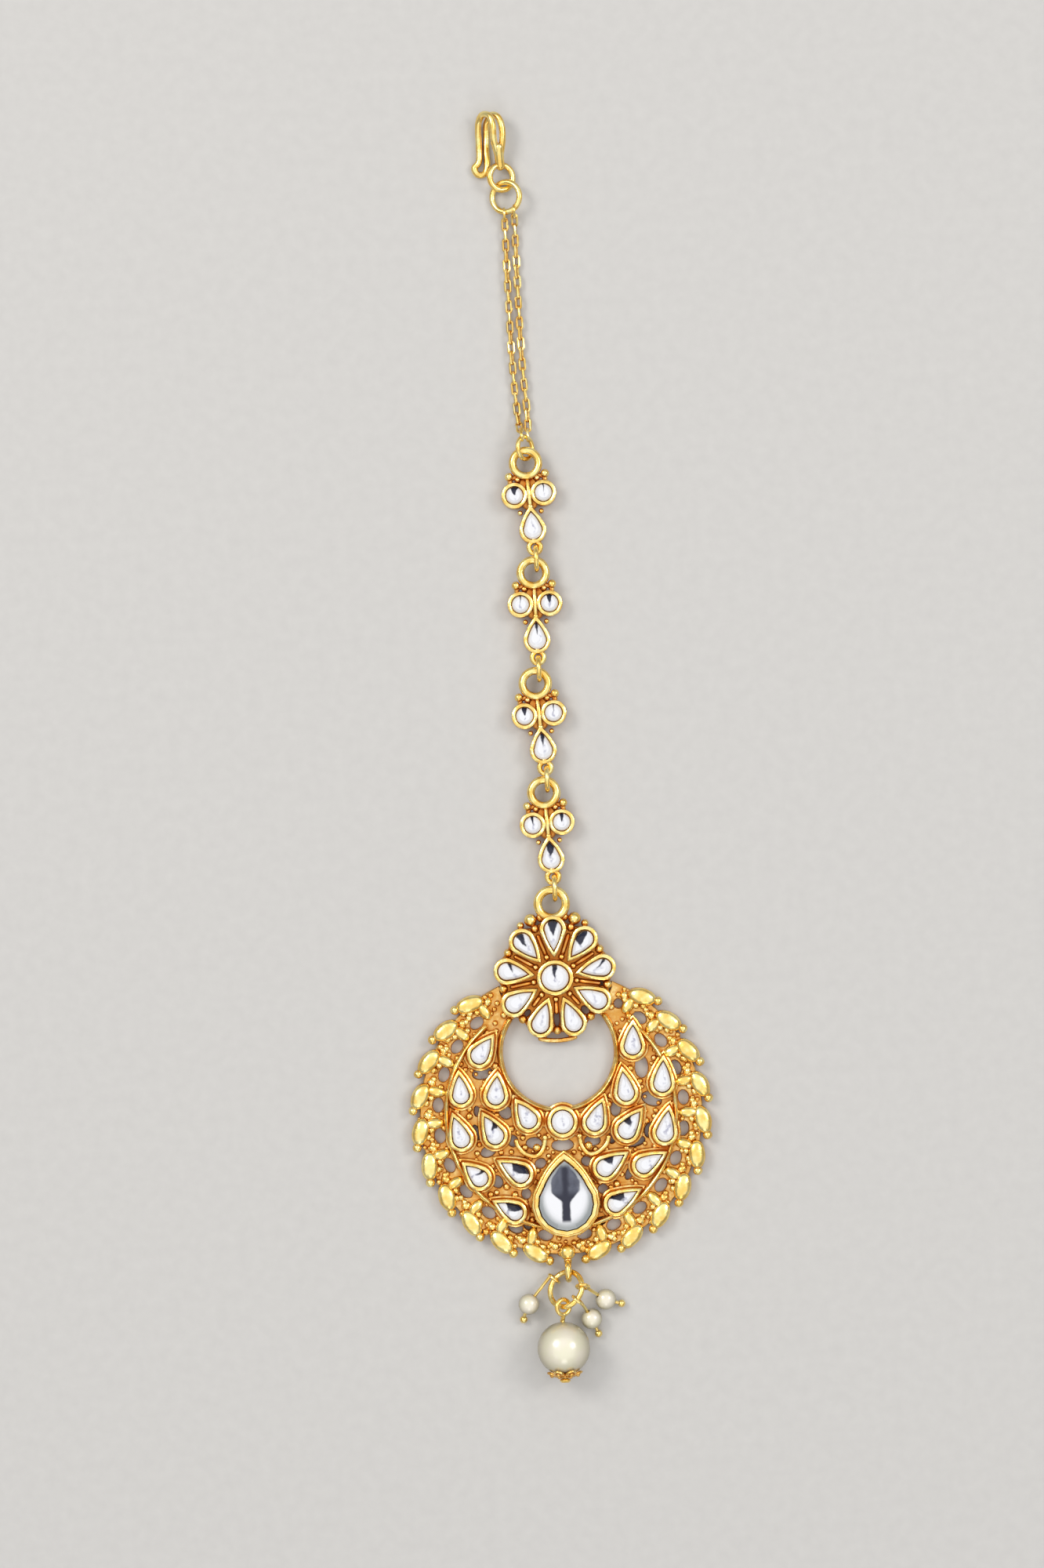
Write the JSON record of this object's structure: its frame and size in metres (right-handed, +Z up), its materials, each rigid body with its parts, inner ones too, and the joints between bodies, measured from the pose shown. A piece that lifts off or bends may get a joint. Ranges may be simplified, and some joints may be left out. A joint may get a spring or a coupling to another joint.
{
  "type": "maang tikka",
  "caption": "Hair jewel with a hook, two fine chain strands, three-stone links and a stone-set flower over an openwork crescent with hanging pearls.",
  "frame": {"origin": "middle of the footprint, on the surface the jewel lies on", "axes": "+Y along the jewel towards the hair hook, +Z up out of the stones, +X to the right seen from above"},
  "size_m": [0.039, 0.1618, 0.0067],
  "materials": {
    "gold": "gold-plated and polished, with orange-brown toning in the recesses",
    "stone": "foil-backed cut glass, white to silver with dark grey facets",
    "pearl": "imitation pearl, creamy white with a soft nacre gloss"
  },
  "bodies": {
    "root": {"hook": "gold", "chain_ring": "gold", "chain_left": "gold", "chain_right": "gold", "chain_end_ring": "gold", "link_1": "gold", "link_ring_1": "gold", "link_2": "gold", "link_ring_2": "gold", "link_3": "gold", "link_ring_3": "gold", "link_4": "gold", "link_ring_4": "gold", "pendant_setting": "gold", "flower_stone": "stone", "petal_stone_1": "stone", "petal_stone_2": "stone", "petal_stone_3": "stone", "petal_stone_4": "stone", "petal_stone_5": "stone", "petal_stone_6": "stone", "petal_stone_7": "stone", "petal_stone_8": "stone", "petal_stone_9": "stone", "window_stone_1": "stone", "window_stone_2": "stone", "window_stone_3": "stone", "window_stone_4": "stone", "window_stone_5": "stone", "window_stone_6": "stone", "window_stone_7": "stone", "middle_stone_1": "stone", "middle_stone_2": "stone", "middle_stone_3": "stone", "middle_stone_4": "stone", "middle_stone_5": "stone", "middle_stone_6": "stone", "lower_stone_1": "stone", "lower_stone_2": "stone", "lower_stone_3": "stone", "lower_stone_4": "stone", "foot_stone_1": "stone", "foot_stone_2": "stone", "centre_stone": "stone", "drop_ring": "gold", "pearl": "pearl", "pearl_pin": "gold", "pearl_cap": "gold", "small_pearl_1": "pearl", "small_pin_1": "gold", "small_pearl_2": "pearl", "small_pin_2": "gold", "small_pearl_3": "pearl", "small_pin_3": "gold"}
  },
  "joints": []
}
